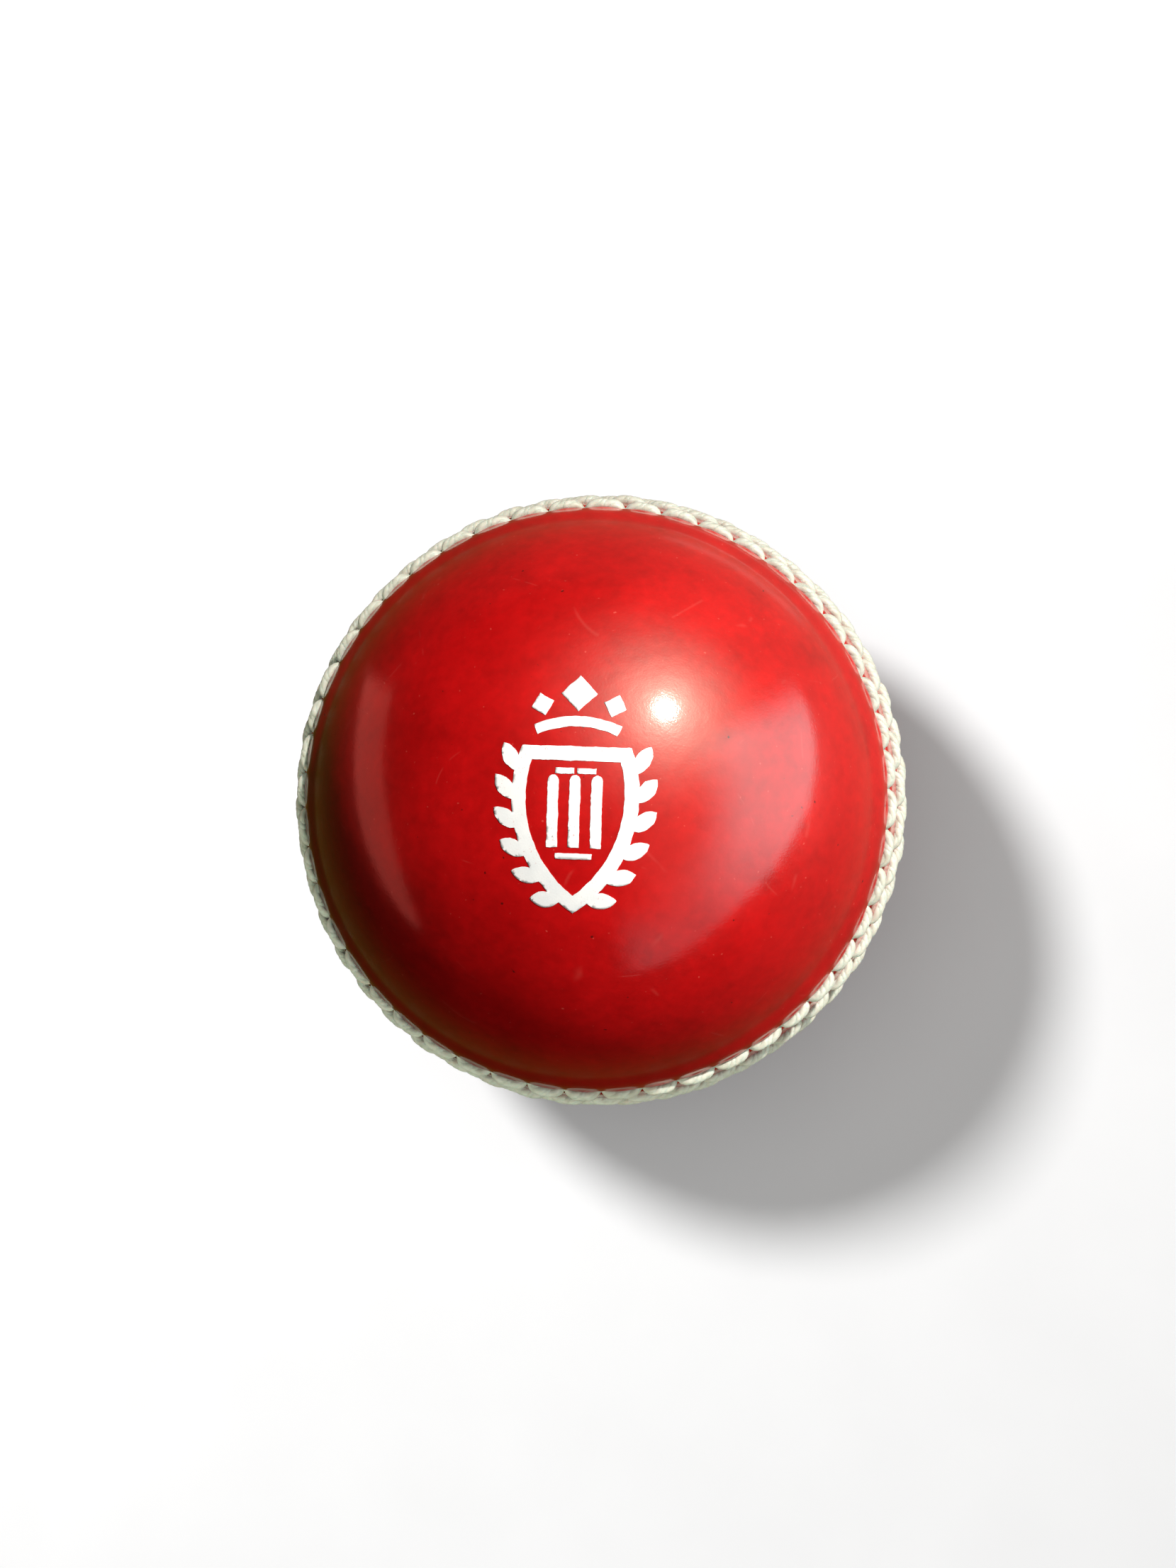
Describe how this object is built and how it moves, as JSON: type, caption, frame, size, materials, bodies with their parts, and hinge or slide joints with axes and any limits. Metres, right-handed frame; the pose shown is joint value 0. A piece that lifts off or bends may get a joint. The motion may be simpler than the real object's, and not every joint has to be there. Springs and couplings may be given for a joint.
{
  "type": "cricket ball",
  "caption": "Red leather cricket ball with a raised stitched seam around its middle, over a wound cork and yarn quilt, for bowling and batting.",
  "frame": {"origin": "centre of the ball", "axes": "the seam lies in the XY plane; +Z passes through the middle of the half that carries the printed mark, whose upright direction is +Y"},
  "size_m": [0.0722, 0.0722, 0.0695],
  "materials": {
    "core_cork": "moulded cork and rubber, matt",
    "cork": "raw sliced cork, matt",
    "yarn": "wound worsted yarn, matt",
    "lining_leather": "undyed leather, matt",
    "red_leather": "dyed red leather under a clear polished lacquer",
    "seam_thread": "waxed linen thread, satin",
    "white_print": "white printed film under lacquer"
  },
  "bodies": {
    "root": {"core": "core_cork", "cork_layer_1": "cork", "yarn_winding_1": "yarn", "cork_layer_2": "cork", "yarn_winding_2": "yarn", "cork_layer_3": "cork", "yarn_winding_3": "yarn", "cork_layer_4": "cork", "yarn_winding_4": "yarn", "cork_layer_5": "cork", "yarn_winding_5": "yarn", "seam_lining_top": "lining_leather", "seam_lining_bottom": "lining_leather", "cover_top": "red_leather", "cover_bottom": "red_leather", "stitch_row_top_inner": "seam_thread", "stitch_row_top_middle": "seam_thread", "stitch_row_top_outer": "seam_thread", "stitch_row_bottom_inner": "seam_thread", "stitch_row_bottom_middle": "seam_thread", "stitch_row_bottom_outer": "seam_thread", "printed_mark": "white_print"}
  },
  "joints": []
}
